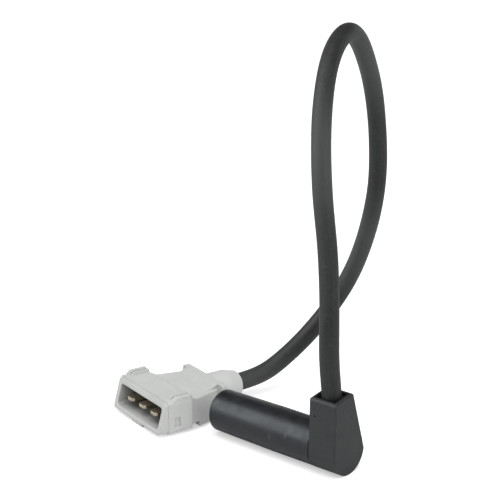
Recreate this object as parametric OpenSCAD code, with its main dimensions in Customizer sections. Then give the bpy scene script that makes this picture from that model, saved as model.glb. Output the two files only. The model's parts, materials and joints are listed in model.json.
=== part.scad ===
// Crankshaft position sensor: a plain barrel with a right-angle head, a stiff rubber lead and a flat three-blade plug.
// Millimetres, +Z up. The sensor lies along X on the floor, its tip towards -X, and the origin is under its middle.

/* [Sensor barrel] */
// Overall length, tip to end face
sensor_len = 37.4; // [36:0.1:46]
// Diameter of the clamping seat next to the head
barrel_d = 10.4; // [9.6:0.1:12]
// Length of the true cylinder of the seat
seat_len = 12; // [8:0.5:16]
// Length of the shallow relief between the seat and the head
relief_len = 0.3; // [0.2:0.1:1]
// How much the diameter falls from the seat to the tip, as moulding draft
draft = 0.5; // [0.1:0.05:0.6]
// Radius of the rounded tip edge
tip_round = 0.8; // [0.3:0.1:0.9]
// Bore that takes the coil unit
bore_d = 7.4; // [7.2:0.1:7.6]

/* [Head] */
// Depth of the head along the barrel
head_depth = 7.4; // [6.8:0.1:8]
// Height of the flat top above the barrel axis
head_top = 13.4; // [12:0.1:18]
// How far the head's round underside stands proud of the barrel at the sides
head_proud = 0.2; // [0.2:0.05:0.4]
// Width of the flat top
head_top_w = 6.7; // [6.6:0.1:8]
// Wall round the potting well
head_wall = 0.9; // [0.7:0.05:0.95]
// Height of the open rim above the potting
well_depth = 1.2; // [0.6:0.1:3]
// Edge break of the head
head_break = 0.4; // [0.1:0.05:0.5]
// Diameter of the moulding gate mark
gate_d = 0.8; // [0.5:0.1:1.2]
// Height of the gate mark above the barrel axis
gate_z = 9.4; // [8:0.1:10]
// Angle at which the sensor lies rolled on its round side
roll = 8; // [4:1:12]

/* [Coil unit] */
// Thickness of each bobbin flange
flange_t = 1.2; // [0.8:0.1:1.6]
// Length of the winding
coil_len = 13; // [8:0.5:14]
// Outer diameter of the winding
coil_d = 6.6; // [5:0.1:6.8]
// Thickness of the tape round the winding
tape_t = 0.1; // [0.05:0.05:0.15]
// Pole pin diameter
pole_d = 2.6; // [2:0.1:3]
// Wall of the bobbin core
core_wall = 0.5; // [0.4:0.1:0.8]
// Magnet diameter
magnet_d = 6; // [4.6:0.1:6.2]
// Distance from the magnet to the terminal pins
magnet_gap = 1.4; // [0.6:0.1:3]
// Side of the square terminal pins
term_t = 0.7; // [0.5:0.1:0.9]
// Spacing of the terminal pins and of the cores
term_pitch = 2.5; // [2.2:0.1:2.7]
// How far each terminal pin reaches into its block
term_grip = 5; // [3:0.5:5.5]

/* [Lead] */
// Diameter of the rubber jacket
cable_d = 4.4; // [4.1:0.1:4.5]
// Diameter of an insulated core
core_d = 1.1; // [0.9:0.1:1.2]
// Diameter of the bare screen wire
drain_d = 0.8; // [0.5:0.1:1]
// Spacing of the cores inside the jacket
lead_pitch = 1.2; // [1.1:0.05:1.3]
// Length of jacket held in the potting
cable_grip = 4; // [2:0.5:6]
// Length of jacket held in the boot
boot_grip = 7; // [4:0.5:7.5]

/* [Plug shroud] */
// Outer width
plug_w = 22; // [21.4:0.1:26]
// Outer height
plug_h = 8; // [7.6:0.1:10]
// Length along the bottom
shroud_len = 9; // [8:0.1:12]
// Width of the opening
open_w = 18.8; // [18:0.1:19.2]
// Height of the opening
open_h = 5.2; // [4.6:0.1:5.6]
// Wall below the opening
floor_wall = 1.2; // [1:0.1:1.4]
// Web behind the opening
web_t = 1; // [0.8:0.1:1.6]
// Corner radius outside
shroud_r = 0.8; // [0.6:0.1:1.8]
// Corner radius of the opening
open_r = 0.8; // [0.3:0.1:1.2]
// Lean of the front rim, top set back
rake = 15.5; // [5:0.5:18]
// Length of the stepped lip at the front
lip_len = 2.6; // [1:0.1:3]
// Step of the lip
lip_step = 0.3; // [0.1:0.05:0.5]

/* [Plug rails and latches] */
// Height of the guide rails above the top
rail_h = 0.7; // [0.4:0.1:1.4]
// Distance of the rails behind the lip
rail_set = 1.4; // [0.5:0.1:2]
// Width of the rail's outer rib
rail_outer = 1.2; // [0.8:0.1:1.4]
// Width of the rail's inner rib
rail_inner = 0.7; // [0.5:0.1:1]
// Width of the slot between the ribs
rail_slot = 0.6; // [0.4:0.1:0.9]
// Length of the sloped rail nose
rail_nose = 0.8; // [0.4:0.1:1.2]
// Width of the latch nub under the rim
nub_w = 4.4; // [3:0.1:6]
// Length of the latch nub
nub_len = 2; // [1.4:0.1:3]
// Width of the side pocket along the plug
pocket_l = 1.6; // [1:0.1:2.4]
// Height of the side pocket
pocket_h = 2.3; // [1.6:0.1:3]
// Depth of the side pocket
pocket_t = 0.4; // [0.3:0.1:0.8]

/* [Plug rear] */
// Length of the neck behind the shroud
neck_len = 2.4; // [1:0.1:3]
// Depth of the neck's groove at the sides and below
groove_t = 1.2; // [0.6:0.1:1.4]
// Length of the tapering block
block_len = 7.4; // [7:0.1:10]
// Width of the block's front end along its bottom
block_w = 20.8; // [20:0.1:21.2]
// Width of the block's rear end along its bottom
block_rear_w = 16.4; // [15.6:0.1:17]
// How far each side of the block leans in over its height
block_lean = 1.1; // [0.3:0.1:1.4]
// Height of the block
block_h = 6.5; // [6.2:0.1:7.4]
// Thickness of the rear flange
rear_t = 1.5; // [1:0.1:2.5]
// Width of the rear flange
rear_w = 17.4; // [16.6:0.1:19]
// Height of the rear flange above the block
rear_rise = 1.2; // [0.8:0.1:1.5]
// Length of the slope in front of the flange
rear_slope = 3; // [1:0.1:4]
// Diameter of the boot where it leaves the flange
boot_d = 8.1; // [7.8:0.1:8.4]
// Length of the boot's even stretch
boot_even = 5; // [3:0.1:6]
// Diameter of the boot before its rounded end
boot_end_d = 6.6; // [6.2:0.1:6.9]
// Length of the boot
boot_len = 8.7; // [8:0.1:14]
// Radius of the boot's rounded end
boot_round = 0.9; // [0.3:0.1:1]
// Height of the lead's axis above the plug's bottom
boot_z = 3.4; // [3.2:0.1:3.6]

/* [Blades] */
// Spacing of the blades
blade_pitch = 5.3; // [5:0.1:5.5]
// Blade width
blade_w = 2.8; // [2.4:0.1:3]
// Blade thickness
blade_t = 0.8; // [0.6:0.1:1]
// Blade tips behind the rim
blade_recess = 0.5; // [0.3:0.1:3]
// Length of the crimp barrel
crimp_len = 4; // [3:0.1:4.5]
// Outer diameter of the crimp barrel
crimp_d = 2.3; // [2.1:0.1:2.6]

/* [Fits] */
// Clearance between moulded-in pieces
fit = 0.03; // [0.01:0.01:0.05]
// Radial clearance of the coil unit in its bore
slip = 0.05; // [0.02:0.01:0.08]

/* [Hidden] */
$fn = 64;

housing_grey = [0.20, 0.205, 0.21];
bobbin_black = [0.13, 0.13, 0.135];
copper = [0.72, 0.38, 0.20];
tape_amber = [0.80, 0.60, 0.20];
iron = [0.55, 0.55, 0.56];
magnet_grey = [0.35, 0.36, 0.38];
tin = [0.78, 0.78, 0.76];
core_white = [0.85, 0.84, 0.80];
core_green = [0.20, 0.45, 0.28];
resin_black = [0.10, 0.10, 0.11];
jacket_grey = [0.22, 0.225, 0.225];
plug_grey = [0.76, 0.77, 0.76];

// Sensor, in its own frame: X along the barrel, Z up through the head
barrel_r = barrel_d / 2;
tip_r = barrel_r - draft / 2;
bore_r = bore_d / 2;
x_tip = -sensor_len / 2;
x_end = sensor_len / 2;
x_head = x_end - head_depth;
half_top = head_top_w / 2;
well_half = half_top - head_wall;
x_well = x_head + head_wall;
x_well_end = x_end - head_wall;
pot_top = head_top - well_depth;
shoulder_wall = 1;
relief_t = 0.2;
x_shoulder = x_head - shoulder_wall;
pass_r = well_half - 0.15;
gate_depth = 0.2;
side_sink = 0.05;
head_r = barrel_r + head_proud * cos(roll);
side_angle = tangent_angle(half_top, head_top - head_proud, head_r);
side_foot = [0, head_proud] + (head_r - side_sink) * [cos(side_angle), sin(side_angle)];
side_lean = atan2(head_top - side_foot.y, half_top - side_foot.x) - 90;
reach = 60;

// Coil unit, from the tip back to the shoulder
bobbin_r = bore_r - slip;
pole_r = pole_d / 2;
core_r = pole_r + core_wall;
coil_r = coil_d / 2;
x_coil = x_tip + flange_t;
x_rear_flange = x_coil + coil_len;
x_magnet = x_rear_flange + flange_t;
term_y = term_pitch / 2;
term_out = 0.6;
x_term = x_shoulder - term_grip;
x_term_end = x_well + term_out;
x_magnet_end = x_term - magnet_gap;

// Lead ends
cable_r = cable_d / 2;
cable_x = (x_well + x_well_end) / 2;
cable_foot = pot_top - cable_grip;
core_bend = cable_x - x_term_end - 0.1;

// The rolled sensor stands with its lowest line on the floor and its box centred on the origin
lean_side = half_top * cos(roll) + head_top * sin(roll);
head_shift = head_proud * sin(roll);
sensor_y = (max(head_r + head_shift, lean_side) - head_r + head_shift) / 2;

// Plug, in its own frame: X from the rim to the lead, Z up from the bottom of the shroud
plug_yaw = 75;
plug_x = -36.1;
plug_y = -11.2;
plug_lift = boot_d / 2 - boot_z;
nub_h = plug_lift;
rim_set_back = tan(rake);
x_floor = shroud_len - web_t;
x_block = shroud_len + neck_len;
x_rear = x_block + block_len;
x_boot = x_rear + rear_t;
x_boot_end = x_boot + boot_len;
open_mid = floor_wall + open_h / 2;
x_crimp = x_block;
x_crimp_end = x_crimp + crimp_len;
wire_seat = 1;
x_lead_end = x_boot_end - boot_grip;
rail_w = rail_outer + rail_slot + rail_inner;
rail_y = plug_w / 2 - 0.1 - rail_w;
pocket_x = 4.2;
pocket_z = 1.6;
nub_x = 0.2;
root = 0.5;
sliver = 0.02;
rear_drop = plug_lift / 2;
rear_r = 0.5;

// Route of the lead between its two holders, chosen by hand
free_route = [
    [15, -2.2, 21.5], [14.6, -2.5, 27], [14.1, -1.9, 33], [13.3, -0.9, 39], [12.1, 0.2, 46], [10.6, 1.3, 52.5],
    [8.8, 2.2, 59], [7.3, 3.3, 66], [5.9, 4.8, 72.5], [4.1, 7.3, 78.5], [2, 11.2, 85.2], [0, 16, 89.8],
    [-1.4, 21, 92.5], [-2.4, 25.7, 93], [-3.2, 29.8, 90.5], [-4.4, 33.8, 86.5], [-5.7, 38.6, 80], [-6.8, 42.4, 71.5],
    [-7.4, 44.6, 60.5], [-7.9, 45, 51], [-9.8, 44.4, 40.5], [-12.9, 43, 30], [-16.7, 40, 21.3], [-20.9, 34.7, 13],
    [-24.2, 28.7, 7.6], [-25.9, 24, 5]
];
lead_lift = 1.5;
route = concat(
    [sensor_point([cable_x, 0, cable_foot]), sensor_point([cable_x, 0, head_top])],
    free_route,
    [plug_point([x_boot_end + lead_lift, 0, boot_z]), plug_point([x_lead_end, 0, boot_z])]
);

// Angle of the point where a line from the corner (w, h) touches a circle of radius r
function tangent_angle(w, h, r) = atan2(h, w) - acos(r / norm([w, h]));

// A point of the sensor's frame or of the plug's frame, in the part's frame
function sensor_point(p) = [
    p.x,
    sensor_y + p.y * cos(roll) - p.z * sin(roll),
    barrel_r + p.y * sin(roll) + p.z * cos(roll)
];
function plug_point(p) = [
    plug_x + p.x * cos(plug_yaw) - p.y * sin(plug_yaw),
    plug_y + p.x * sin(plug_yaw) + p.y * cos(plug_yaw),
    plug_lift + p.z
];

// Sweep of a round section along a list of points, with one ring of corners at each point
function unit(v) = v / norm(v);
function heading(path, i) = unit(path[min(i + 1, len(path) - 1)] - path[max(i - 1, 0)]);
function ring(path, i, r, sides, side_ref) =
    let (t = heading(path, i), n = unit(side_ref - (side_ref * t) * t), b = cross(t, n))
    [for (k = [0:sides - 1]) path[i] + r * (cos(360 * k / sides) * n + sin(360 * k / sides) * b)];
module tube(path, r, sides, side_ref) {
    last = len(path) - 1;
    corners = [for (i = [0:last]) each ring(path, i, r, sides, side_ref)];
    walls = [for (i = [0:last - 1], k = [0:sides - 1])
        let (a = i * sides + k, b = i * sides + (k + 1) % sides)
        each [[a, b + sides, b], [a, a + sides, b + sides]]];
    caps = [[for (k = [0:sides - 1]) k], [for (k = [sides - 1:-1:0]) last * sides + k]];
    polyhedron(points = corners, faces = concat(walls, caps), convexity = 8);
}

// Placing and shared shapes
module in_sensor() {
    translate([0, sensor_y, barrel_r]) rotate([roll, 0, 0]) children();
}
module in_plug() {
    translate([plug_x, plug_y, plug_lift]) rotate([0, 0, plug_yaw]) children();
}
module rod_x(x0, x1, r) {
    translate([x0, 0, 0]) rotate([0, 90, 0]) cylinder(h = x1 - x0, r = r);
}
module profile_x(x0, x1) {
    translate([x0, 0, 0]) rotate([90, 0, 90]) linear_extrude(height = x1 - x0) children();
}
module rounded(w, h, r) {
    translate([-w / 2 + r, 0]) square([w - 2 * r, h]);
    translate([-w / 2, r]) square([w, h - 2 * r]);
    for (sx = [-1, 1], y = [r, h - r]) translate([sx * (w / 2 - r), y]) circle(r = r);
}

// Sensor housing: drafted barrel, wedge-sided head and the well that the potting fills
module barrel() {
    arc_steps = 6;
    tip_arc = [for (i = [0:arc_steps]) let (a = 90 * i / arc_steps)
        [tip_r - tip_round + tip_round * cos(a), sensor_len - tip_round + tip_round * sin(a)]];
    translate([x_end, 0, 0]) rotate([0, -90, 0]) rotate_extrude()
        polygon(concat([[0, head_depth - root], [barrel_r - relief_t, head_depth - root],
            [barrel_r - relief_t, head_depth + relief_len], [barrel_r, head_depth + relief_len],
            [barrel_r, head_depth + relief_len + seat_len]], tip_arc, [[0, sensor_len]]));
}
module break_edge(length) {
    cube([head_break * sqrt(2), head_break * sqrt(2), length], center = true);
}
module head() difference() {
    profile_x(x_head, x_end) {
        translate([0, head_proud]) circle(r = head_r);
        polygon([side_foot, [half_top, head_top], [-half_top, head_top], [-side_foot.x, side_foot.y]]);
    }
    // Edge breaks: upright edges of both end faces, then the four edges of the flat top
    for (side = [0, 1]) mirror([0, side, 0]) {
        for (x = [x_head, x_end]) translate([x, half_top, head_top]) rotate([side_lean, 0, 0]) rotate([0, 0, 45])
            break_edge(reach);
        translate([0, half_top, head_top]) rotate([45 + side_lean / 2, 0, 0]) rotate([0, 90, 0]) break_edge(reach);
    }
    for (x = [x_head, x_end]) translate([x, 0, head_top]) rotate([0, 45, 0]) rotate([90, 0, 0]) break_edge(reach);
}
module well(gap) {
    profile_x(x_well + gap, x_well_end - gap) {
        circle(r = well_half - gap);
        translate([gap - well_half, 0]) square([2 * (well_half - gap), pot_top + (gap > 0 ? 0 : reach)]);
    }
}
module sensor_housing() color(housing_grey) in_sensor() difference() {
    union() {
        barrel();
        head();
    }
    rod_x(x_tip - root, x_shoulder, bore_r);
    rod_x(x_shoulder - root, x_well + root, pass_r);
    well(0);
    mirror([0, 1, 0]) translate([x_head + head_depth / 4, half_top, head_top]) rotate([side_lean, 0, 0])
        translate([0, -gate_depth, gate_z - head_top]) rotate([-90, 0, 0]) cylinder(h = reach, d = gate_d);
}

// Coil unit: one bobbin moulding that carries the pole pin, the winding, the magnet and the terminal pins
module coil_bobbin() color(bobbin_black) in_sensor() difference() {
    union() {
        rod_x(x_tip, x_coil, bobbin_r);
        rod_x(x_coil - root, x_rear_flange + root, core_r);
        rod_x(x_rear_flange, x_shoulder, bobbin_r);
    }
    rod_x(x_tip - root, x_magnet + root, pole_r + fit);
    rod_x(x_magnet, x_magnet_end, magnet_d / 2 + fit);
    translate([x_magnet, -magnet_d / 2 - fit, 0]) cube([x_magnet_end - x_magnet, magnet_d + 2 * fit, reach]);
    for (y = [-term_y, term_y]) terminal_bar(y, fit, root);
}
module terminal_bar(y, gap, past) {
    side = term_t + 2 * gap;
    translate([x_term, y - side / 2, -side / 2]) cube([x_term_end + past - x_term, side, side]);
}
module coil_winding() color(copper) in_sensor() difference() {
    rod_x(x_coil + fit, x_rear_flange - fit, coil_r);
    rod_x(x_coil, x_rear_flange, core_r + fit);
}
module winding_tape() color(tape_amber) in_sensor() difference() {
    rod_x(x_coil + fit, x_rear_flange - fit, coil_r + fit + tape_t);
    rod_x(x_coil, x_rear_flange, coil_r + fit);
}
module pole_pin() color(iron) in_sensor() rod_x(x_tip, x_magnet, pole_r);
module magnet() color(magnet_grey) in_sensor() rod_x(x_magnet + fit, x_magnet_end - fit, magnet_d / 2);
module terminal(y) color(tin) in_sensor() terminal_bar(y, 0, 0);

// Cores that rise from the terminal pins to the end of the jacket
function core_path(y) = concat(
    [[x_term_end, y, 0]],
    [for (a = [0:30:90]) [cable_x - core_bend + core_bend * sin(a), y, core_bend - core_bend * cos(a)]],
    [[cable_x, y, cable_foot]]
);
module core_tube(y, gap) tube(core_path(y), core_d / 2 + gap, 8, [0, 1, 0]);
module core(y, paint) color(paint) in_sensor() core_tube(y, 0);
module potting() color(resin_black) in_sensor() difference() {
    well(fit);
    translate([cable_x, 0, cable_foot]) cylinder(h = reach, r = cable_r + fit);
    for (y = [-term_y, term_y]) {
        terminal_bar(y, fit, 0);
        core_tube(y, fit);
    }
}

// Lead
module cable() color(jacket_grey) tube(route, cable_r, 12, [1, 0.3, 0]);

// Plug housing: raked shroud with slotted rails and a latch nub, groove, tapering block, rear flange and boot
module raked_front(x) {
    rotate([0, rake, 0]) translate([x * cos(rake) - reach, -reach / 2, -reach / 2]) cube([reach, reach, reach]);
}
module shroud() difference() {
    union() {
        profile_x(0, lip_len + lip_step) translate([0, lip_step])
            rounded(plug_w - 2 * lip_step, plug_h - 2 * lip_step, shroud_r);
        profile_x(lip_len, shroud_len) rounded(plug_w, plug_h, shroud_r);
        for (side = [0, 1]) mirror([0, side, 0]) rail();
        latch_nub();
    }
    raked_front(0);
    profile_x(-root, x_floor) translate([0, floor_wall]) rounded(open_w, open_h, open_r);
    for (side = [0, 1]) mirror([0, side, 0]) translate([pocket_x, plug_w / 2 - pocket_t, pocket_z])
        cube([pocket_l, reach, pocket_h]);
}
module rail() {
    front = lip_len + rail_set;
    outline = [[front, plug_h - root], [shroud_len, plug_h - root], [shroud_len, plug_h + rail_h],
        [front + rail_nose, plug_h + rail_h], [front, plug_h]];
    for (rib = [[0, rail_inner], [rail_inner + rail_slot, rail_outer]])
        translate([0, rail_y + rib[0] + rib[1], 0]) rotate([90, 0, 0]) linear_extrude(height = rib[1]) polygon(outline);
}
module latch_nub() {
    slope = nub_h / 2;
    translate([0, nub_w / 2, 0]) rotate([90, 0, 0]) linear_extrude(height = nub_w)
        polygon([[nub_x, root], [nub_x, 0], [nub_x + slope, -nub_h], [nub_x + nub_len, -nub_h],
            [nub_x + nub_len + slope / 2, 0], [nub_x + nub_len + slope / 2, root]]);
}
module plug_rear() {
    // Neck whose top ramps down from the shroud to the block
    hull() {
        profile_x(shroud_len - root, shroud_len - root + sliver) translate([0, groove_t])
            rounded(plug_w - 2 * groove_t, plug_h - groove_t - sliver, shroud_r);
        profile_x(x_block, x_block + sliver) translate([0, groove_t])
            rounded(block_w - 2 * groove_t, block_h - groove_t, shroud_r);
    }
    // Block that tapers to the rear, with sides that lean in
    hull() {
        block_plate(0, 0);
        block_plate(block_h - sliver, block_lean);
    }
    profile_x(x_rear, x_boot) translate([0, -rear_drop])
        rounded(rear_w, block_h + rear_rise + rear_drop, rear_r);
    // Slope from the block's top up to the flange
    slope_w = block_rear_w - 2 * block_lean - root;
    translate([0, slope_w / 2, block_h]) rotate([90, 0, 0]) linear_extrude(height = slope_w)
        polygon([[x_rear - rear_slope, -root], [x_rear + root, -root], [x_rear + root, rear_rise - sliver],
            [x_rear, rear_rise - sliver], [x_rear - rear_slope, -sliver]]);
}
module block_plate(z, inset) {
    front = block_w / 2 - inset;
    rear = block_rear_w / 2 - inset;
    translate([0, 0, z]) linear_extrude(height = sliver)
        polygon([[x_block, -front], [x_rear + root, -rear], [x_rear + root, rear], [x_block, front]]);
}
module boot() {
    arc_steps = 6;
    end_r = boot_end_d / 2;
    round_end = [for (i = [0:arc_steps]) let (a = 90 * i / arc_steps)
        [end_r - boot_round + boot_round * cos(a), boot_len - boot_round + boot_round * sin(a)]];
    translate([x_boot, 0, boot_z]) rotate([0, 90, 0]) rotate_extrude()
        polygon(concat([[0, -root], [boot_d / 2, -root], [boot_d / 2, boot_even]], round_end, [[0, boot_len]]));
}
module plug_housing() color(plug_grey) in_plug() difference() {
    union() {
        shroud();
        plug_rear();
        boot();
    }
    translate([0, 0, boot_z]) rod_x(x_lead_end, x_boot_end + root, cable_r + fit);
    for (k = [-1, 0, 1]) {
        blade_shape(k, fit);
        plug_wire(k, fit);
    }
}

// Blades: flat tab with a bevelled tip, then a crimp barrel round its wire
module blade_shape(k, gap) {
    tip = open_mid * rim_set_back + blade_recess;
    w = blade_w / 2 + gap;
    taper = blade_w / 5;
    translate([0, k * blade_pitch, open_mid]) {
        translate([0, 0, -blade_t / 2 - gap]) linear_extrude(height = blade_t + 2 * gap)
            polygon([[tip, taper - w], [tip + taper, -w], [x_crimp + root, -w], [x_crimp + root, w], [tip + taper, w],
                [tip, w - taper]]);
        rod_x(x_crimp - gap, x_crimp_end + gap, crimp_d / 2 + gap);
    }
}
module blade(k) color(tin) in_plug() difference() {
    blade_shape(k, 0);
    translate([0, k * blade_pitch, open_mid])
        rod_x(x_crimp + wire_seat, x_crimp_end + root, wire_d(k) / 2 + fit);
}

// Wires from the crimps to the end of the jacket, easing across from the blade spacing to the core spacing
function wire_d(k) = k == 0 ? drain_d : core_d;
function wire_path(k) =
    let (a = [x_crimp_end, k * blade_pitch, open_mid], b = [x_lead_end - wire_seat, k * lead_pitch, boot_z], steps = 8)
    concat(
        [[x_crimp + wire_seat, a.y, a.z]],
        [for (i = [0:steps]) let (t = i / steps, s = t * t * (3 - 2 * t)) [a.x + (b.x - a.x) * t, a.y + (b.y - a.y) * s,
            a.z + (b.z - a.z) * s]],
        [[x_lead_end, b.y, b.z]]
    );
module plug_wire(k, gap) tube(wire_path(k), wire_d(k) / 2 + gap, 8, [0, 0, 1]);
module plug_core(k, paint) color(paint) in_plug() plug_wire(k, 0);

sensor_housing();
coil_bobbin();
coil_winding();
winding_tape();
pole_pin();
magnet();
terminal(term_y);  // terminal_left
terminal(-term_y);  // terminal_right
core(term_y, core_white);  // core_left
core(-term_y, core_green);  // core_right
potting();
cable();
plug_housing();
blade(1);  // blade_left
blade(0);  // blade_middle
blade(-1);  // blade_right
plug_core(1, core_white);  // plug_core_left
plug_core(-1, core_green);  // plug_core_right
plug_core(0, tin);  // plug_drain
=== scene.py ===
# %% [markdown]
# # A crankshaft position sensor in Blender
# The part is a dark moulded probe with a right-angle head, a stiff rubber lead that stands in one tall
# loop, and a flat pale plug. The solids come from the CAD frame. This lesson adds what they don't carry:
# a smooth lead, the resin's skin in the head, the cheeks of the plug's neck, and the finish of each
# surface.

# %% Load the frame
import json
import math

import bpy
import numpy as np
from mathutils import Matrix, Vector


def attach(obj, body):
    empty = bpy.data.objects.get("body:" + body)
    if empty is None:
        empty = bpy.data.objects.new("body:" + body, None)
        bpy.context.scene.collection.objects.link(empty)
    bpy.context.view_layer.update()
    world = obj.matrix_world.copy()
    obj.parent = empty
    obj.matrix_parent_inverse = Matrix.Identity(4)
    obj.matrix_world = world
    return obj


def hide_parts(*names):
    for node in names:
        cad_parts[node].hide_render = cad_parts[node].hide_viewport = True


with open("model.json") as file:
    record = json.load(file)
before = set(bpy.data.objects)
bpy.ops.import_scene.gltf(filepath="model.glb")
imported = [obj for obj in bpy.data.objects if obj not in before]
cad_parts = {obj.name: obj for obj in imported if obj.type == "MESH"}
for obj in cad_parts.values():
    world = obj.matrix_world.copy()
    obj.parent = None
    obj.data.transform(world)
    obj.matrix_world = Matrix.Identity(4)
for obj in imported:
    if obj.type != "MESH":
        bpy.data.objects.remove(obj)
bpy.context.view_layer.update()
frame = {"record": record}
MM = 0.001

# %% [markdown]
# ## The camera
# A product photo of a small part is taken from some way off with a long lens, so that near and far ends
# keep their proportions. A camera could be aimed with a Track To constraint. Here its turn is worked out
# from an azimuth and an elevation instead, because the lamps can use the same sum. Blender's camera looks
# along its own -Z.

# %% Camera
CAMERA_PLACE = Vector((201.8, -247.25, 147.75)) * MM
CAMERA_AZIMUTH = math.radians(40.58)
CAMERA_ELEVATION = math.radians(17.34)
LENS_MM = 110.0
FILM_WIDTH_MM = 36
NEAREST_SEEN = 10 * MM


def look_turn(azimuth, elevation):
    """Rotation of a camera whose back points to (sin a cos e, -cos a cos e, sin e), its right side level."""
    right = Vector((math.cos(azimuth), math.sin(azimuth), 0))
    level = math.cos(elevation)
    back = Vector((math.sin(azimuth) * level, -math.cos(azimuth) * level, math.sin(elevation)))
    return Matrix((right, back.cross(right), back)).transposed()


camera = bpy.data.objects.new("camera", bpy.data.cameras.new("camera"))
bpy.context.collection.objects.link(camera)
camera.data.lens = LENS_MM
camera.data.sensor_width = FILM_WIDTH_MM
camera.data.clip_start = NEAREST_SEEN
camera_turn = look_turn(CAMERA_AZIMUTH, CAMERA_ELEVATION)
camera.matrix_world = Matrix.Translation(CAMERA_PLACE) @ camera_turn.to_4x4()
bpy.context.scene.camera = camera
print("camera stands", round(CAMERA_PLACE.length / MM), "mm from the origin")

# %% [markdown]
# ## Where the sensor and the plug lie
# The sensor rests on its barrel, rolled a little to one side, and the plug lies flat, turned away from
# it. Parenting pieces to an empty could carry both turns. A finished piece has to sit untransformed at
# the origin, though, so two functions turn sizes of the sensor or the plug into places in the frame.

# %% Sensor and plug places
PROBE = Vector(next(m for m in frame["record"]["mounts"] if m["name"] == "probe")["pos_m"])
ROLL = math.radians(8)
PLUG_CORNER = np.array([-36.1, -11.2, 0.65]) * MM
PLUG_YAW = math.radians(75)


def sensor_point(x, y, z):
    """A point of the rolled sensor: (y, z) turned by the roll about the barrel's axis."""
    turned_y = PROBE.y + y * math.cos(ROLL) - z * math.sin(ROLL)
    turned_z = PROBE.z + y * math.sin(ROLL) + z * math.cos(ROLL)
    return np.stack([x, turned_y, turned_z], axis=-1)


def plug_point(x, y, z):
    """A point of the plug: (x, y) turned by the plug's yaw, then moved to its corner."""
    turned_x = PLUG_CORNER[0] + x * math.cos(PLUG_YAW) - y * math.sin(PLUG_YAW)
    turned_y = PLUG_CORNER[1] + x * math.sin(PLUG_YAW) + y * math.cos(PLUG_YAW)
    return np.stack([turned_x, turned_y, PLUG_CORNER[2] + z], axis=-1)


print("probe's seat in mm:", [round(v / MM, 2) for v in PROBE])

# %% [markdown]
# ## The lead's route
# The real lead is a stiff rubber cable, cast into the head at one end and into the plug's boot at the
# other, so it leaves both ends straight and keeps the loop it was bent to. A curve drawn by hand in the
# viewport could follow it. A list of points is easier to check and to change, and its ends are worked out
# from the head and the boot.

# %% Route points
HEAD_MID_X = 15 * MM
LEAD_FOOT = 8.2 * MM
HEAD_TOP = 13.4 * MM
BOOT_END = 29 * MM
LEAD_END = 22 * MM
BOOT_HEIGHT = 3.4 * MM
LEAD_LIFT = 1.5 * MM
FREE_ROUTE = np.array([
    [15, -2.2, 21.5], [14.6, -2.5, 27], [14.1, -1.9, 33], [13.3, -0.9, 39], [12.1, 0.2, 46],
    [10.6, 1.3, 52.5], [8.8, 2.2, 59], [7.3, 3.3, 66], [5.9, 4.8, 72.5], [4.1, 7.3, 78.5],
    [2, 11.2, 85.2], [0, 16, 89.8], [-1.4, 21, 92.5], [-2.4, 25.7, 93], [-3.2, 29.8, 90.5],
    [-4.4, 33.8, 86.5], [-5.7, 38.6, 80], [-6.8, 42.4, 71.5], [-7.4, 44.6, 60.5], [-7.9, 45, 51],
    [-9.8, 44.4, 40.5], [-12.9, 43, 30], [-16.7, 40, 21.3], [-20.9, 34.7, 13], [-24.2, 28.7, 7.6],
    [-25.9, 24, 5],
]) * MM
lead_exit = sensor_point(HEAD_MID_X, 0, HEAD_TOP)
route = np.vstack([sensor_point(HEAD_MID_X, 0, LEAD_FOOT), lead_exit, FREE_ROUTE,
                   plug_point(BOOT_END + LEAD_LIFT, 0, BOOT_HEIGHT), plug_point(LEAD_END, 0, BOOT_HEIGHT)])
print("route points:", len(route))

# %% [markdown]
# ## The lead's centre line
# A bent cable has no kinks, so straight stretches between the points won't do. A Bezier curve would need
# handles at each point. A uniform cubic B-spline needs none: each stretch is a weighted mean of four
# neighbours, which irons out small unevenness in the points. The line is then read at equal distances, so
# that rings stand evenly along it.

# %% Smooth centre line
SPAN_POINTS = 24
RING_STEP = 0.6 * MM


def smooth_route(points, per_span):
    """Uniform cubic B-spline. Each span is the mean of four neighbours with the weights (1-t)^3, 3t^3-6t^2+4,
    -3t^3+3t^2+3t+1 and t^3, all over 6. The ends are mirrored, so that it starts and ends on its points."""
    held = np.vstack([2 * points[0] - points[1], points, 2 * points[-1] - points[-2]])
    t = np.linspace(0, 1, per_span, endpoint=False)[:, None]
    middle = [3 * t ** 3 - 6 * t ** 2 + 4, -3 * t ** 3 + 3 * t ** 2 + 3 * t + 1]
    weights = np.hstack([(1 - t) ** 3, *middle, t ** 3]) / 6
    spans = np.stack([held[k:len(held) - 3 + k] for k in range(4)], axis=1)
    return np.vstack([np.einsum("tk,skc->stc", weights, spans).reshape(-1, 3), points[-1]])


def even_steps(line, step):
    """The same line with points at equal distances: each coordinate is read at equal arc lengths."""
    arc = np.concatenate([[0], np.cumsum(np.linalg.norm(np.diff(line, axis=0), axis=1))])
    at = np.linspace(0, arc[-1], max(2, round(arc[-1] / step)) + 1)
    return np.stack([np.interp(at, arc, line[:, c]) for c in range(3)], axis=1), at


lead_line, lead_at = even_steps(smooth_route(route, SPAN_POINTS), RING_STEP)
lead_length = lead_at[-1]
print("lead length in mm:", round(lead_length / MM, 1))

# %% [markdown]
# ## A mesh from rings of points
# Every new piece of this lesson is a row of closed rings: rings along a lead, rings round it in a well,
# or profiles along a neck. Blender's own primitives could be bent into such shapes. A grid of points
# gives exact control, and one function can turn any such grid into a mesh.

# %% Mesh from rings


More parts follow.
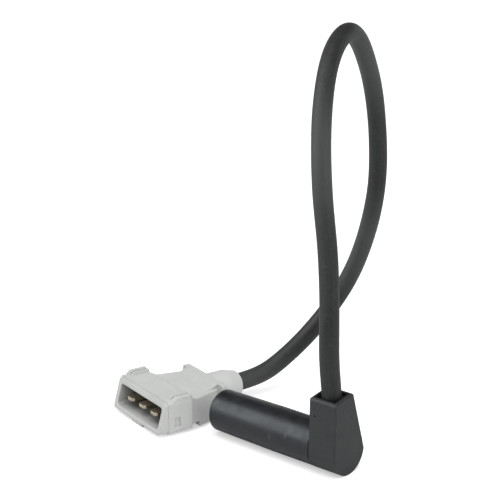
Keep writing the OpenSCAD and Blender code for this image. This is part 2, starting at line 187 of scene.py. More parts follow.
def surface(name, grid, poles=None):
    """A mesh from a grid of points (rings, places round a ring, 3). Each cell is one quad, and the last
    place joins the first. Poles, if given, are two points that close the end rings with fans. Faces point
    outwards where a ring turns right-handed about the way to the next ring."""
    rings, places = grid.shape[:2]
    row, here = np.meshgrid(np.arange(rings - 1) * places, np.arange(places), indexing="ij")
    beside = (here + 1) % places
    quads = np.stack([row + here, row + beside, row + places + beside, row + places + here], axis=-1)
    faces = quads.reshape(-1, 4).tolist()
    points = grid.reshape(-1, 3)
    if poles is not None:
        ring = np.arange(places)
        turn = (ring + 1) % places
        last = (rings - 1) * places
        faces += np.stack([turn, ring, np.full(places, len(points))], axis=-1).tolist()
        faces += np.stack([last + ring, last + turn, np.full(places, len(points) + 1)], axis=-1).tolist()
        points = np.vstack([points, poles])
    mesh = bpy.data.meshes.new(name)
    mesh.from_pydata(points.tolist(), [], faces)
    mesh.shade_smooth()
    piece = bpy.data.objects.new(name, mesh)
    bpy.context.collection.objects.link(piece)
    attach(piece, "root")
    print(name, "has", len(mesh.vertices), "points and", len(mesh.polygons), "faces")
    return piece


print("rings for the lead:", len(lead_line))

# %% [markdown]
# ## The lead's surface
# The jacket is a round section carried along the centre line. A curve object with a bevel depth would do,
# but then the surface has no coordinates of its own for streaks and dust. Here all rings are worked out
# at once: each lies in the plane across the line, spanned by a side vector and its cross product with the
# line's direction. A real extruded jacket is never perfectly even, so its radius swells and shrinks by
# about one percent.

# %% Lead mesh
LEAD_D = 4.4 * MM
LEAD_SIDES = 48
SIDE_REF = np.array([1, 0.3, 0])
LONG_SWELL = 0.006
LONG_WAVE = 7 * MM
SHORT_SWELL = 0.005
SHORT_WAVE = 2.6 * MM
SHORT_PHASE = 1


def unit(v):
    """Vectors scaled to length one, along the last axis."""
    return v / np.linalg.norm(v, axis=-1, keepdims=True)


def jacket_rings(line, radius, sides, side_ref):
    """Rings along a line: centre + radius (cos v side + sin v (ahead x side)), with side square to ahead."""
    ahead = unit(np.gradient(line, axis=0))
    side = unit(side_ref - (ahead @ side_ref)[:, None] * ahead)
    cross = np.cross(ahead, side)
    v = np.linspace(0, 2 * np.pi, sides, endpoint=False)
    ring = np.cos(v)[None, :, None] * side[:, None] + np.sin(v)[None, :, None] * cross[:, None]
    return line[:, None] + radius[:, None, None] * ring, v


swell = LONG_SWELL * np.sin(lead_at / LONG_WAVE) + SHORT_SWELL * np.sin(lead_at / SHORT_WAVE + SHORT_PHASE)
lead_grid, lead_turn = jacket_rings(lead_line, LEAD_D / 2 * (1 + swell), LEAD_SIDES, SIDE_REF)
lead = surface("lead", lead_grid, lead_line[[0, -1]])
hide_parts("cable")
print("lead swells by up to", round(100 * float(swell.max()), 2), "percent")

# %% [markdown]
# ## The jacket's own coordinates
# The jacket's dust, painted light and extrusion streaks run along it. A UV map could carry them, but it
# would need a seam. So each vertex keeps three numbers in an attribute: the turn round the jacket as
# cosine and sine, which meet without a seam, and the way along it in diameters.

# %% Lead coordinates
jacket_coords = np.empty((len(lead_line), LEAD_SIDES, 3))
jacket_coords[..., 0] = np.cos(lead_turn)
jacket_coords[..., 1] = np.sin(lead_turn)
jacket_coords[..., 2] = lead_at[:, None] / LEAD_D
pole_coords = [[0, 0, 0], [0, 0, lead_length / LEAD_D]]
jacket_coords = np.vstack([jacket_coords.reshape(-1, 3), pole_coords])
stored = lead.data.attributes.new("jacket_coords", "FLOAT_VECTOR", "POINT")
stored.data.foreach_set("vector", jacket_coords.ravel())
print("lead is", round(lead_length / LEAD_D, 1), "diameters long")

# %% [markdown]
# ## The resin's skin
# The head is filled with poured resin. Before it set, it crept up the lead and the wall of the well,
# which leaves a dished skin. A subdivided plane could be sculpted to that. As a grid of angle and reach,
# from the jacket out to the wall, its height is one short sum that falls off from both edges. Its faces
# point down, which doesn't show, because Cycles draws both sides of a face.

# %% Resin skin
WELL_HALF_X = 2.8 * MM
WELL_HALF_Y = 2.45 * MM
POTTING_TOP = 12.2 * MM
SKIN_GAP = 0.02 * MM
SKIN_START = 0.97
CREEP = 0.45 * MM
CREEP_REACH = 0.25 * MM
NEVER_ZERO = 1e-9


def resin_skin(turns=96, steps=14):
    """Height over the potting: creep times the sum of exp(-distance/reach) from the jacket and the wall. The
    ray at angle v meets the wall at the lesser of half x / |cos v| and half y / |sin v|."""
    v = np.linspace(0, 2 * np.pi, turns, endpoint=False)[None, :]
    wall = np.minimum(WELL_HALF_X / np.maximum(np.abs(np.cos(v)), NEVER_ZERO),
                      WELL_HALF_Y / np.maximum(np.abs(np.sin(v)), NEVER_ZERO)) - SKIN_GAP
    inner = LEAD_D / 2 * SKIN_START
    r = inner + (wall - inner) * np.linspace(0, 1, steps)[:, None]
    rise = CREEP * (np.exp(-(r - inner) / CREEP_REACH) + np.exp(-(wall - r) / CREEP_REACH))
    return sensor_point(HEAD_MID_X + r * np.cos(v), r * np.sin(v), POTTING_TOP + SKIN_GAP + rise)


skin = surface("resin_skin", resin_skin())
print("resin creeps up by", round(CREEP / MM, 2), "mm")

# %% [markdown]
# ## The cheeks of the plug's neck
# Behind the shroud, the sides of the real moulding run on almost flush into the tapering block, and only
# the underside is relieved. The CAD neck is set in at the sides too, so a cheek fills each side. A scaled
# cube wouldn't do, because the outer face meets the shroud's upright side in front and the block's
# leaning side behind. So each cheek is a four-cornered profile across the plug, and its corners run in
# straight lines from the front to the rear.

# %% Neck cheeks
NECK_FRONT = 8.9 * MM
NECK_REAR = 11.5 * MM
FRONT_CORNERS = np.array([[9.3, 1.22], [10.97, 1.22], [10.86, 7.75], [9, 7.75]]) * MM
REAR_CORNERS = np.array([[9, 1.22], [10.16, 1.22], [9.27, 6.47], [8.4, 6.47]]) * MM


def neck_cheek(side, steps=10):
    """At a share s of the way back: (1 - s) times the front corners plus s times the rear corners. The right
    side mirrors y and takes the corners in reverse, so that the faces still point outwards."""
    s = np.linspace(0, 1, steps)[:, None, None]
    across = (1 - s) * FRONT_CORNERS + s * REAR_CORNERS
    if side < 0:
        across = across[:, ::-1]
    x = np.broadcast_to((1 - s[..., 0]) * NECK_FRONT + s[..., 0] * NECK_REAR, across.shape[:2])
    return plug_point(x, side * across[..., 0], across[..., 1])


for name, side in (("neck_cheek_left", 1), ("neck_cheek_right", -1)):
    grid = neck_cheek(side)
    cheek = surface(name, grid, grid[[0, -1]].mean(axis=1))
    cheek.data.shade_flat()
print("cheeks are", round((NECK_REAR - NECK_FRONT) / MM, 1), "mm long")

# %% [markdown]
# ## Node tools
# Every finish is a Principled shader with some nodes behind its colour, roughness and fine relief. Nodes
# could be placed by hand in the Shader Editor. A few small functions do the same and keep each finish
# short: they fill sockets, add nodes, begin a material and give it to pieces.

# %% Node tools


def connect(tree, socket, value):
    """Link another node's output to a socket, or set a plain value on it."""
    if isinstance(value, bpy.types.NodeSocket):
        tree.links.new(value, socket)
    else:
        socket.default_value = value


def add(tree, kind, *in_order, **by_name):
    """A node of that kind, with values for its sockets, in order or by name."""
    made = tree.nodes.new(kind)
    for socket, value in zip(made.inputs, in_order):
        connect(tree, socket, value)
    for name, value in by_name.items():
        connect(tree, made.inputs[name], value)
    return made


def work_out(tree, kind, operation, *values):
    """A Math or VectorMath node with that operation on the values."""
    made = add(tree, kind, *values)
    made.operation = operation
    return made


def begin(name):
    """A new material's node tree, its Principled shader and the material."""
    finish = bpy.data.materials.new(name)
    finish.use_nodes = True
    return finish.node_tree, finish.node_tree.nodes["Principled BSDF"], finish


def fill(tree, shader, colour, rough, normal):
    """Give a Principled shader its colour, its roughness and its normal."""
    for name, value in (("Base Color", colour), ("Roughness", rough), ("Normal", normal)):
        connect(tree, shader.inputs[name], value)


def dress(finish, *names):
    """Give a finish to CAD nodes or to made pieces, by name."""
    for name in names:
        piece = bpy.data.objects[name]
        piece.data.materials.clear()
        piece.data.materials.append(finish)
    print(finish.name, "on", ", ".join(names))


print("tools made:", ", ".join(tool.__name__ for tool in (connect, add, work_out, begin, fill, dress)))

# %% [markdown]
# ## Noise and blends
# Moulded, drawn and worn surfaces are never even, so nearly every value of a finish comes from a noise.
# An image could hold such a pattern. A noise on Object coordinates needs none, has no seams and stays put
# on the piece. Scales are per metre, so a scale of 1000 has features about a millimetre wide.

# %% Noise and blends


def object_coords(tree):
    """Object coordinates: metres in the part's frame."""
    return tree.nodes.new("ShaderNodeTexCoord").outputs["Object"]


def noise(tree, coords, scale, detail=3.0, stretch=None, turn=0.0):
    """Noise between 0 and 1 on those coordinates, stretched and turned about Z by a Mapping node if asked."""
    if stretch is not None:
        mapped = add(tree, "ShaderNodeMapping", Vector=coords, Scale=stretch, Rotation=(0, 0, turn))
        coords = mapped.outputs["Vector"]
    return add(tree, "ShaderNodeTexNoise", Vector=coords, Scale=scale, Detail=detail).outputs["Fac"]


def spread(tree, value, low, high, start=0.3, end=0.7):
    """Map a value from start..end to low..high, clamped. Most noise lies between 0.3 and 0.7."""
    return add(tree, "ShaderNodeMapRange", value, start, end, low, high).outputs["Result"]


def blend_colour(tree, factor, first, second):
    """Colour that goes from first to second with the factor. A Mix node's sockets 6 and 7 are colours."""
    mix = tree.nodes.new("ShaderNodeMix")
    mix.data_type = "RGBA"
    for index, value in ((0, factor), (6, first), (7, second)):
        connect(tree, mix.inputs[index], value)
    return mix.outputs[2]


def blend_value(tree, factor, first, second):
    """Number that goes from first to second with the factor. A Mix node's sockets 2 and 3 are numbers."""
    mix = tree.nodes.new("ShaderNodeMix")
    for index, value in ((0, factor), (2, first), (3, second)):
        connect(tree, mix.inputs[index], value)
    return mix.outputs[0]


def only_in(tree, mask, value):
    """The value where the mask is 1, down to 0 where the mask is 0."""
    return blend_value(tree, mask, 0.0, value)


print("tools made:", ", ".join(tool.__name__ for tool in (noise, spread, blend_colour, blend_value, only_in)))

# %% [markdown]
# ## Relief and highlighted edges
# A mould's edges are a little rounded. Bevelling a CAD mesh could break its faces. The Bevel node only
# bends the shading near an edge, which is enough at this size. Where its normal leaves the true one,
# there is an edge, so the dot product of the two also finds the edges that get a painted highlight in the
# colour.

# %% Relief and highlighted edges
EDGE_SAMPLES = 6
EDGE_FULLY = 0.8
EDGE_NOT = 0.99


def relief(tree, height, depth, strength, soft_edge=None):
    """Normal with that height as fine relief. A soft edge rounds sharp CAD corners in the shading."""
    bump = add(tree, "ShaderNodeBump", Height=height, Distance=depth, Strength=strength)
    if soft_edge:
        edge = add(tree, "ShaderNodeBevel", Radius=soft_edge)
        edge.samples = EDGE_SAMPLES
        connect(tree, bump.inputs["Normal"], edge.outputs["Normal"])
    return bump.outputs["Normal"]


def edge_highlight_mask(tree, radius):
    """Mask for painted edge highlights: about 1 along sharp edges and 0 on flats, from the dot of the rounded
    normal with the true one.
    """
    soft = add(tree, "ShaderNodeBevel", Radius=radius).outputs["Normal"]
    true = tree.nodes.new("ShaderNodeNewGeometry").outputs["Normal"]
    agree = work_out(tree, "ShaderNodeVectorMath", "DOT_PRODUCT", soft, true)
    return spread(tree, agree.outputs["Value"], 1, 0, EDGE_FULLY, EDGE_NOT)


# The edges found here are lightened in the colour: a painted highlight.
print("edges wear where normals part by over", round(math.degrees(math.acos(EDGE_NOT)), 1), "degrees")

# %% [markdown]
# ## Spots on a surface
# The real barrel has two small scuffs. They could be painted as weights on its vertices, but a CAD mesh
# has few of those. A Mapping node of the kind Texture gives a region coordinates of its own, from -1 to
# 1, so the distance from a spot's middle says how much of the scuff shows.

# %% Spots
SPOT_FADE = (0.4, 1)


def own_coords(tree, centre, turn, half):
    """Coordinates that run from -1 to 1 over a region with that centre, turn about Z and half size."""
    own = add(tree, "ShaderNodeMapping", Vector=object_coords(tree), Location=centre, Scale=half)
    own.vector_type = "TEXTURE"
    connect(tree, own.inputs["Rotation"], (0, 0, turn))
    return own.outputs["Vector"]


def in_spot(tree, centre, half):
    """1 in the middle of a spot and 0 outside, from the length of the spot's own coordinates."""
    away = work_out(tree, "ShaderNodeVectorMath", "LENGTH", own_coords(tree, centre, 0, half))
    return spread(tree, away.outputs["Value"], 1, 0, *SPOT_FADE)


print("a spot fades from", SPOT_FADE[0], "of its half size")

# %% [markdown]
# ## The probe's tone
# The probe is one charcoal moulding of filled nylon. Its barrel came out of a polished cavity, while the
# head has a matt, finely sparked skin that looks lighter. Two materials on two groups of faces could show
# that. One material that reads the X coordinate needs no groups.

# %% Probe tone
HEAD_START = 11.3 * MM
HEAD_FADE = (HEAD_START - 0.6 * MM, HEAD_START + 0.4 * MM)
BARREL_TONES = ((0.0085, 0.0097, 0.012, 1), (0.014, 0.0155, 0.0182, 1))
HEAD_TONES = ((0.02, 0.0205, 0.021, 1), (0.027, 0.0277, 0.0275, 1))
SCUFFS = np.array([[0.1, -5.2, 5.4], [4.5, -4.9, 6.8]]) * MM
SCUFF_HALF = np.array([0.3, 0.9, 0.9]) * MM
SCUFF_TONE = (0.075, 0.08, 0.085, 1)
PAINTED_HIGHLIGHT_NYLON = (0.08, 0.082, 0.084, 1)
tree, shader, probe_finish = begin("charcoal_nylon")
place = object_coords(tree)
along = add(tree, "ShaderNodeSeparateXYZ", place).outputs["X"]
on_head = spread(tree, along, 0, 1, *HEAD_FADE)
cloud = spread(tree, noise(tree, place, scale=260), 0, 1)
mottle = noise(tree, place, scale=520)
grain = noise(tree, place, scale=5200, detail=4)
barrel_tone = blend_colour(tree, cloud, *BARREL_TONES)
for scuff in SCUFFS:
    rubbed = only_in(tree, in_spot(tree, scuff, SCUFF_HALF), spread(tree, grain, low=0.2, high=1))
    barrel_tone = blend_colour(tree, rubbed, barrel_tone, SCUFF_TONE)
tone = blend_colour(tree, on_head, barrel_tone, blend_colour(tree, cloud, *HEAD_TONES))
# Painted highlight: the probe's edges are lighter, like lit rims, and the shade line at the joint of barrel
# and head is lightened too.
edges = only_in(tree, edge_highlight_mask(tree, radius=0.35 * MM), spread(tree, mottle, low=0.25, high=0.7))
tone = blend_colour(tree, edges, tone, PAINTED_HIGHLIGHT_NYLON)
print("probe tone has", len(SCUFFS), "scuffs and changes at x =", round(HEAD_START / MM, 1), "mm")

# %% [markdown]
# ## The probe's gloss
# The polished barrel has a soft highlight that breaks up where hands have rubbed it, and the head hardly
# shines. One roughness would lose that. So the barrel's roughness follows a coarse noise and the head's a
# fine grain, and the same X coordinate parts them. A cool tint in the highlight belongs to the filled
# nylon.

# %% Probe gloss
BARREL_ROUGH = (0.3, 0.48)
HEAD_ROUGH = (0.5, 0.66)
NYLON_GLINT = (0.9, 0.96, 1, 1)
rough = blend_value(tree, on_head, spread(tree, mottle, *BARREL_ROUGH), spread(tree, grain, *HEAD_ROUGH))
skin_relief = relief(tree, grain, depth=0.02 * MM, strength=0.35, soft_edge=0.3 * MM)
fill(tree, shader, tone, rough, skin_relief)
shader.inputs["Specular IOR Level"].default_value = 0.45
shader.inputs["Specular Tint"].default_value = NYLON_GLINT
dress(probe_finish, "sensor_housing")

# %% [markdown]
# ## Painted shade in the plug's mouth
# The mouth is darker deep inside, and this darkening is painted shade in the colour. It could be painted
# by hand. Ambient occlusion on the object alone finds such hollows wherever the light comes from, and a
# box with its own coordinates keeps the painted shade out of the plug's other corners.

# %% Plug painted shade
MOUTH_MIDDLE = plug_point(4 * MM, 0, 3.8 * MM)
MOUTH_HALF = np.array([4.4, 9.6, 2.9]) * MM
MOUTH_FADE = (1, 1.03)
SHADE_REACH = 8 * MM
SHADE_SAMPLES = 8


def in_box(tree, centre, turn, half):
    """1 inside a box and 0 outside, from the greatest of the absolute values of the box's own coordinates."""
    way = work_out(tree, "ShaderNodeVectorMath", "ABSOLUTE", own_coords(tree, centre, turn, half))
    x, y, z = add(tree, "ShaderNodeSeparateXYZ", way.outputs["Vector"]).outputs
    wider = work_out(tree, "ShaderNodeMath", "MAXIMUM", x, y).outputs[0]
    widest = work_out(tree, "ShaderNodeMath", "MAXIMUM", wider, z).outputs[0]
    return spread(tree, widest, 1, 0, *MOUTH_FADE)


tree, shader, plug_finish = begin("pale_grey_moulding")
hollow = add(tree, "ShaderNodeAmbientOcclusion", Distance=SHADE_REACH)
hollow.only_local = True
hollow.samples = SHADE_SAMPLES
in_mouth = in_box(tree, MOUTH_MIDDLE, PLUG_YAW, MOUTH_HALF)
shut_in = spread(tree, hollow.outputs["AO"], low=0.97, high=0, start=0.15, end=0.72)
# Painted shade: the colour darkens deep in the mouth, following the ambient occlusion.
painted_mouth_shade = only_in(tree, shut_in, in_mouth)
print("soil lies within", (2 * MOUTH_HALF / MM).round(1).tolist(), "mm of mouth")

# %% [markdown]
# ## The plug's moulding
# The plug is pale grey and satin, with a faint cloudiness, and its edges get a painted highlight. One
# flat grey would look like a drawing, so a slow noise carries the colour between two close tones. A fine
# grain does the same for the roughness and gives the satin its relief.

# %% Plug finish
PLUG_TONES = ((0.575, 0.587, 0.574, 1), (0.622, 0.633, 0.619, 1))
PAINTED_HIGHLIGHT_PLUG = (0.78, 0.79, 0.775, 1)
PAINTED_SHADE_TONE = (0.1, 0.097, 0.088, 1)
PLUG_ROUGH = (0.4, 0.52)
place = object_coords(tree)
cloud = noise(tree, place, scale=180, detail=4)
grain = noise(tree, place, scale=6000)
# Painted highlight: the plug's edges are lighter, like lit rims, and concave corners are lightened over their
# shade.
edges = only_in(tree, edge_highlight_mask(tree, radius=0.3 * MM), spread(tree, cloud, low=0.4, high=0.8))
plug_colour = blend_colour(tree, spread(tree, cloud, 0, 1), *PLUG_TONES)
plug_colour = blend_colour(tree, edges, plug_colour, PAINTED_HIGHLIGHT_PLUG)
satin = relief(tree, grain, depth=0.02 * MM, strength=0.25, soft_edge=0.35 * MM)
# The colour takes the painted shade of the mouth, over the moulding's own tones.
fill(tree, shader, blend_colour(tree, painted_mouth_shade, plug_colour, PAINTED_SHADE_TONE), spread(tree, grain, *PLUG_ROUGH), satin)
dress(plug_finish, "plug_housing", "neck_cheek_left", "neck_cheek_right")

# %% [markdown]
# ## The blades
# The contacts are stamped from brass strip and plated with bright tin, which has dulled. Rolling lines
# run along each blade. A Wave texture would draw them too evenly, so a noise is turned with the plug and
# stretched along it, and thin spots in the plating show the brass.

# %% Blade finish
TIN_TONE = (0.5, 0.45, 0.35, 1)
BRASS_TONE = (0.32, 0.24, 0.13, 1)
TIN_ROUGH = (0.36, 0.52)
ROLLING_STRETCH = (400, 9000, 9000)
tree, shader, tin_finish = begin("bright_tin")
place = object_coords(tree)
lines = noise(tree, place, scale=1, stretch=ROLLING_STRETCH, turn=-PLUG_YAW)
thin = spread(tree, noise(tree, place, scale=900), low=0, high=0.75, start=0.48, end=0.7)
rolled = relief(tree, lines, depth=0.01 * MM, strength=0.3, soft_edge=0.12 * MM)
fill(tree, shader, blend_colour(tree, thin, TIN_TONE, BRASS_TONE), spread(tree, lines, *TIN_ROUGH), rolled)
shader.inputs["Metallic"].default_value = 1.0
dress(tin_finish, "blade_left", "blade_middle", "blade_right", "terminal_left", "terminal_right",
      "plug_drain")

# %% [markdown]
# ## Dust and painted light on the jacket
# Handling leaves dust on old rubber in cloudy patches. The lead is also lighter in soft bands along it,
# partly dust and partly painted light where light falls on the loop, and the stretch by the head has no
# bands. A colour ramp along the lead would need a stop for each band. A sine of the way along it, with
# the spacing of the bands as its wave length, gives them all at once.

# %% Jacket dust and painted light
BAND_SPACING = 49.5 * MM
FIRST_BAND = 56.5 * MM
BAND_FADE = (-0.5, 1)
HEAD_STRETCH_FADE = (6, 11)
PATCH_SHARE = 0.25
RUBBER_TONE = (0.003, 0.0034, 0.0034, 1)
DUST_AND_LIGHT_TONE = (0.046, 0.051, 0.051, 1)
tree, shader, jacket_finish = begin("rubber_dust_and_painted_light")
place = object_coords(tree)
own = tree.nodes.new("ShaderNodeAttribute")
own.attribute_name = "jacket_coords"
along = add(tree, "ShaderNodeSeparateXYZ", own.outputs["Vector"]).outputs["Z"]
start_phase = math.pi / 2 - 2 * math.pi * FIRST_BAND / BAND_SPACING
end_phase = start_phase + 2 * math.pi * lead_length / BAND_SPACING
phase = spread(tree, along, start_phase, end_phase, 0, lead_length / LEAD_D)
# The bands lighten the jacket's colour: partly dust, partly painted light where light falls on the loop.
bands = spread(tree, work_out(tree, "ShaderNodeMath", "SINE", phase).outputs[0], 0, 1, *BAND_FADE)
bands = only_in(tree, spread(tree, along, 0, 1, *HEAD_STRETCH_FADE), bands)
patches = spread(tree, noise(tree, place, scale=45, detail=5), low=0, high=1, start=0.4, end=0.6)
rubber = blend_colour(tree, blend_value(tree, PATCH_SHARE, bands, patches), RUBBER_TONE, DUST_AND_LIGHT_TONE)
# These bands are partly dust and partly painted light.
print("dust bands:", math.floor((lead_length - FIRST_BAND) / BAND_SPACING) + 1)

# %% [markdown]
# ## Streaks, flecks and specks
# Over the dust and painted light lie faint streaks from extrusion, which read the jacket's own
# coordinates, and pale flecks and specks, which read the object's. Scattered discs could stand for the
# specks. A noise cut off at its upper end is simpler: only its peaks show. The specks also give the
# rubber its fine relief.

# %% Jacket finish
STREAK_STRETCH = (6, 6, 0.25)
STREAK_TONE = (0.036, 0.039, 0.038, 1)
FLECK_TONE = (0.05, 0.0525, 0.051, 1)
SPECK_TONE = (0.1, 0.1, 0.096, 1)
RUBBER_ROUGH = (0.46, 0.62)
streaks = noise(tree, own.outputs["Vector"], scale=1, detail=4, stretch=STREAK_STRETCH)
flecks = noise(tree, place, scale=1300)
specks = noise(tree, place, scale=3200, detail=2)
streaks_shown = spread(tree, streaks, low=0, high=0.3, start=0.45, end=0.75)
flecks_shown = spread(tree, flecks, low=0, high=0.25, start=0.5, end=0.72)
specks_shown = spread(tree, specks, low=0, high=0.4, start=0.68, end=0.78)
dust_and_light = blend_colour(tree, streaks_shown, rubber, STREAK_TONE)
dust_and_light = blend_colour(tree, flecks_shown, dust_and_light, FLECK_TONE)
dust_and_light = blend_colour(tree, specks_shown, dust_and_light, SPECK_TONE)
rough = spread(tree, patches, *RUBBER_ROUGH, start=0, end=1)
fill(tree, shader, dust_and_light, rough, relief(tree, specks, depth=0.04 * MM, strength=0.3))
shader.inputs["Specular IOR Level"].default_value = 0.4
shader.inputs["Sheen Weight"].default_value = 0.04
dress(jacket_finish, "lead")

# %% [markdown]
# ## Resin and the hidden coil
# The resin is black and a little glossy. The coil unit and the cores are closed in, but they still get
# their real finishes: moulded bobbin, amber film, sintered magnet, coloured insulation. Each could have
# nodes of its own. They differ only in their tones and gloss, though, so one function makes them all.

# %% Plain finishes


def plain_finish(name, dark, light, scale, rough, metallic=0.0):
    """A Principled finish whose colour and roughness follow one noise, with that noise as fine relief."""
    tree, shader, finish = begin(name)
    field = noise(tree, object_coords(tree), scale, detail=4)
    colour = blend_colour(tree, spread(tree, field, 0, 1), dark, light)
    fine = relief(tree, field, depth=0.02 * MM, strength=0.2)
    fill(tree, shader, colour, spread(tree, field, *rough), fine)
    shader.inputs["Metallic"].default_value = metallic
    return finish


resin = plain_finish("black_resin", dark=(0.006, 0.006, 0.007, 1), light=(0.012, 0.012, 0.013, 1),
                     scale=900, rough=(0.28, 0.42))
bobbin = plain_finish("bobbin_moulding", dark=(0.016, 0.016, 0.017, 1), light=(0.028, 0.028, 0.029, 1),
                      scale=1500, rough=(0.4, 0.55))
film = plain_finish("amber_film", dark=(0.5, 0.26, 0.02, 1), light=(0.65, 0.36, 0.05, 1),
                    scale=700, rough=(0.2, 0.3))
sintered = plain_finish("sintered_magnet", dark=(0.07, 0.075, 0.085, 1), light=(0.13, 0.135, 0.15, 1),
                        scale=2600, rough=(0.45, 0.6), metallic=0.6)
white = plain_finish("white_insulation", dark=(0.62, 0.6, 0.54, 1), light=(0.7, 0.68, 0.62, 1),
                     scale=1200, rough=(0.4, 0.5))
green = plain_finish("green_insulation", dark=(0.025, 0.15, 0.05, 1), light=(0.035, 0.19, 0.07, 1),
                     scale=1200, rough=(0.4, 0.5))
dress(resin, "potting", "resin_skin")
dress(bobbin, "coil_bobbin")
dress(film, "winding_tape")
dress(sintered, "magnet")
dress(white, "core_left", "plug_core_left")
dress(green, "core_right", "plug_core_right")

# %% [markdown]
# ## Lathe rings and wire turns
# The pole pin that shows at the tip is turned soft iron, with rings from the lathe about the barrel's
# axis. The winding is fine enamelled wire, with a band for each turn along that axis. Modelling turns
# this fine would cost many faces that nobody sees, so a Wave texture draws both: as rings for the pin, as
# bands for the wire.

# %% Banded finishes
RING_PITCH = 0.12 * MM
TURN_PITCH = 0.14 * MM
WAVE_WOBBLE = 0.6


def banded_finish(name, dark, light, pattern, pitch, rough):
    """A metal whose colour and relief follow a Wave texture about the barrel's axis. At scale 1 the texture
    has a band for each pi / 10, so its scale is pi / 10 over the pitch."""
    tree, shader, finish = begin(name)
    centred = add(tree, "ShaderNodeMapping", Vector=object_coords(tree), Location=(0, -PROBE.y, -PROBE.z))
    wave = add(tree, "ShaderNodeTexWave", Vector=centred.outputs["Vector"], Scale=math.pi / 10 / pitch,
               Distortion=WAVE_WOBBLE)
    wave.wave_type = pattern
    wave.bands_direction = "X"
    wave.rings_direction = "X"
    field = wave.outputs["Fac"]
    cut = relief(tree, field, depth=0.02 * MM, strength=0.4)
    fill(tree, shader, blend_colour(tree, field, dark, light), rough, cut)
    shader.inputs["Metallic"].default_value = 1.0
    return finish


iron = banded_finish("turned_iron", dark=(0.36, 0.355, 0.35, 1), light=(0.5, 0.495, 0.49, 1),
                     pattern="RINGS", pitch=RING_PITCH, rough=0.34)
wire = banded_finish("enamelled_wire", dark=(0.42, 0.13, 0.04, 1), light=(0.62, 0.25, 0.1, 1),
                     pattern="BANDS", pitch=TURN_PITCH, rough=0.3)
dress(iron, "pole_pin")
dress(wire, "coil_winding")

# %% [markdown]
# ## The floor
# The photo is a plain product shot on white, and the part stands on a large pale sheet that catches the
# soft shadow. A shadow-catcher pass would do that too, but it needs compositing. A plain square needs
# only four corners.

# %% Floor
FLOOR_HALF = 3.0
floor_corners = [(-FLOOR_HALF, -FLOOR_HALF, 0), (FLOOR_HALF, -FLOOR_HALF, 0), (FLOOR_HALF, FLOOR_HALF, 0),
                 (-FLOOR_HALF, FLOOR_HALF, 0)]
floor_mesh = bpy.data.meshes.new("floor")
floor_mesh.from_pydata(floor_corners, [], [(0, 1, 2, 3)])
floor = bpy.data.objects.new("floor", floor_mesh)
bpy.context.collection.objects.link(floor)
print("floor is", 2 * FLOOR_HALF, "m wide")

# %% [markdown]
# ## The white sheet
# In the photo the open floor is white, while the shadow under the part stays. More light would whiten the
# floor, but would also bleach the plug. So the sheet glows a little, only where the camera sees it, and
# more of it far from the part.

# %% Sheet finish
SHEET_TONE = (0.86, 0.86, 0.86, 1)
WHITE = (1, 1, 1, 1)
GLOW_NEAR_AND_FAR = (0.47, 0.57)
GLOW_REACH = (0.1, 0.4)
sheet_finish = bpy.data.materials.new("white_sheet")
sheet_finish.use_nodes = True
tree = sheet_finish.node_tree
tree.nodes.clear()
seen = tree.nodes.new("ShaderNodeLightPath").outputs["Is Camera Ray"]
reach = work_out(tree, "ShaderNodeVectorMath", "LENGTH", object_coords(tree)).outputs["Value"]
level = spread(tree, reach, *GLOW_NEAR_AND_FAR, *GLOW_REACH)
shown = work_out(tree, "ShaderNodeMath", "MULTIPLY", seen, level).outputs[0]
sheet = add(tree, "ShaderNodeBsdfDiffuse", Color=SHEET_TONE).outputs[0]
glow = add(tree, "ShaderNodeEmission", Color=WHITE, Strength=shown).outputs[0]
both = add(tree, "ShaderNodeAddShader", sheet, glow).outputs[0]
add(tree, "ShaderNodeOutputMaterial", Surface=both)
dress(sheet_finish, "floor")

# %% [markdown]
# ## The world
# A picture of a studio could light the scene. Here a few sums do. To the camera the world is white, and
# to diffuse rays it is an even light. To mirror rays it is a white backdrop with a dim ceiling and a dim
# camera side, which is what draws light edges and a dark middle on dark round pieces.

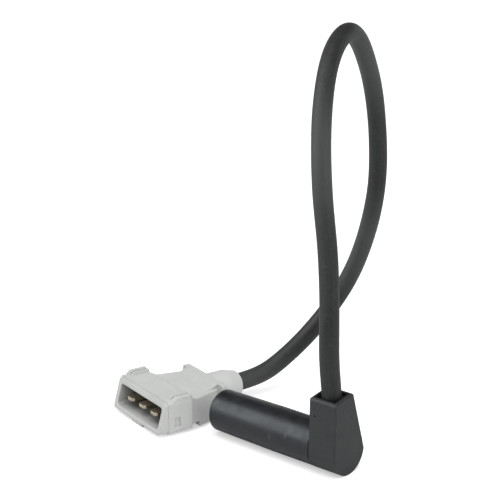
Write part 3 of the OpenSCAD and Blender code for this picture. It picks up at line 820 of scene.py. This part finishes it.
# %% World
WORLD_LIGHT = 0.55
CEILING = 0.12
CEILING_FADE = (0.1, 0.45)
BACKDROP = 1.0
CAMERA_SIDE = 0.3
CAMERA_SIDE_FADE = (-0.1, 0.6)
world = bpy.data.worlds.new("studio")
bpy.context.scene.world = world
world.use_nodes = True
tree = world.node_tree
tree.nodes.clear()
rays = tree.nodes.new("ShaderNodeLightPath").outputs
mirrored = work_out(tree, "ShaderNodeMath", "MAXIMUM", rays["Is Glossy Ray"], rays["Is Transmission Ray"])
toward = tree.nodes.new("ShaderNodeTexCoord").outputs["Generated"]
height = add(tree, "ShaderNodeSeparateXYZ", toward).outputs["Z"]
camera_way = (math.sin(CAMERA_AZIMUTH), -math.cos(CAMERA_AZIMUTH), 0)
facing = work_out(tree, "ShaderNodeVectorMath", "DOT_PRODUCT", toward, camera_way).outputs["Value"]
room = spread(tree, facing, BACKDROP, CAMERA_SIDE, *CAMERA_SIDE_FADE)
room = blend_value(tree, spread(tree, height, 0, 1, *CEILING_FADE), room, CEILING)
lit = blend_value(tree, mirrored.outputs[0], WORLD_LIGHT, room)
strength = blend_value(tree, rays["Is Camera Ray"], lit, 1.0)
sky = add(tree, "ShaderNodeBackground", Color=WHITE, Strength=strength).outputs[0]
add(tree, "ShaderNodeOutputWorld", Surface=sky)
bpy.context.scene.view_settings.view_transform = "Standard"
print("world light", WORLD_LIGHT)

# %% [markdown]
# ## The lamps
# A soft box overhead and one on the right give the plain light of a product shot. A third lamp on the
# left would wash out the plug's mouth, yet the barrel's long highlight comes from that side. So it is a
# card that no diffuse surface sees: it only draws highlights.

# %% Lamps
AIM = Vector((0, 10, 20)) * MM


def soft_lamp(name, azimuth, elevation, distance, size, power):
    """A square area lamp that faces the object from that side and height, in degrees, metres and watts."""
    lamp = bpy.data.objects.new(name, bpy.data.lights.new(name, "AREA"))
    bpy.context.collection.objects.link(lamp)
    lamp.data.size = size
    lamp.data.energy = power
    turn = look_turn(math.radians(azimuth), math.radians(elevation))
    lamp.matrix_world = Matrix.Translation(AIM + turn @ Vector((0, 0, distance))) @ turn.to_4x4()
    print(name, "of", power, "W stands", distance, "m off")
    return lamp


soft_lamp("top_box", azimuth=20, elevation=68, distance=0.7, size=0.6, power=2.6)
card = soft_lamp("left_card", azimuth=-40, elevation=34, distance=0.7, size=0.6, power=4.4)
card.visible_diffuse = False
soft_lamp("right_box", azimuth=95, elevation=30, distance=0.8, size=0.5, power=1.75)

# %% [markdown]
# ## The end
# The scene must not outgrow the CAD. A ruler in the viewport could show that for one view.

# %% Last line
print("scene made")
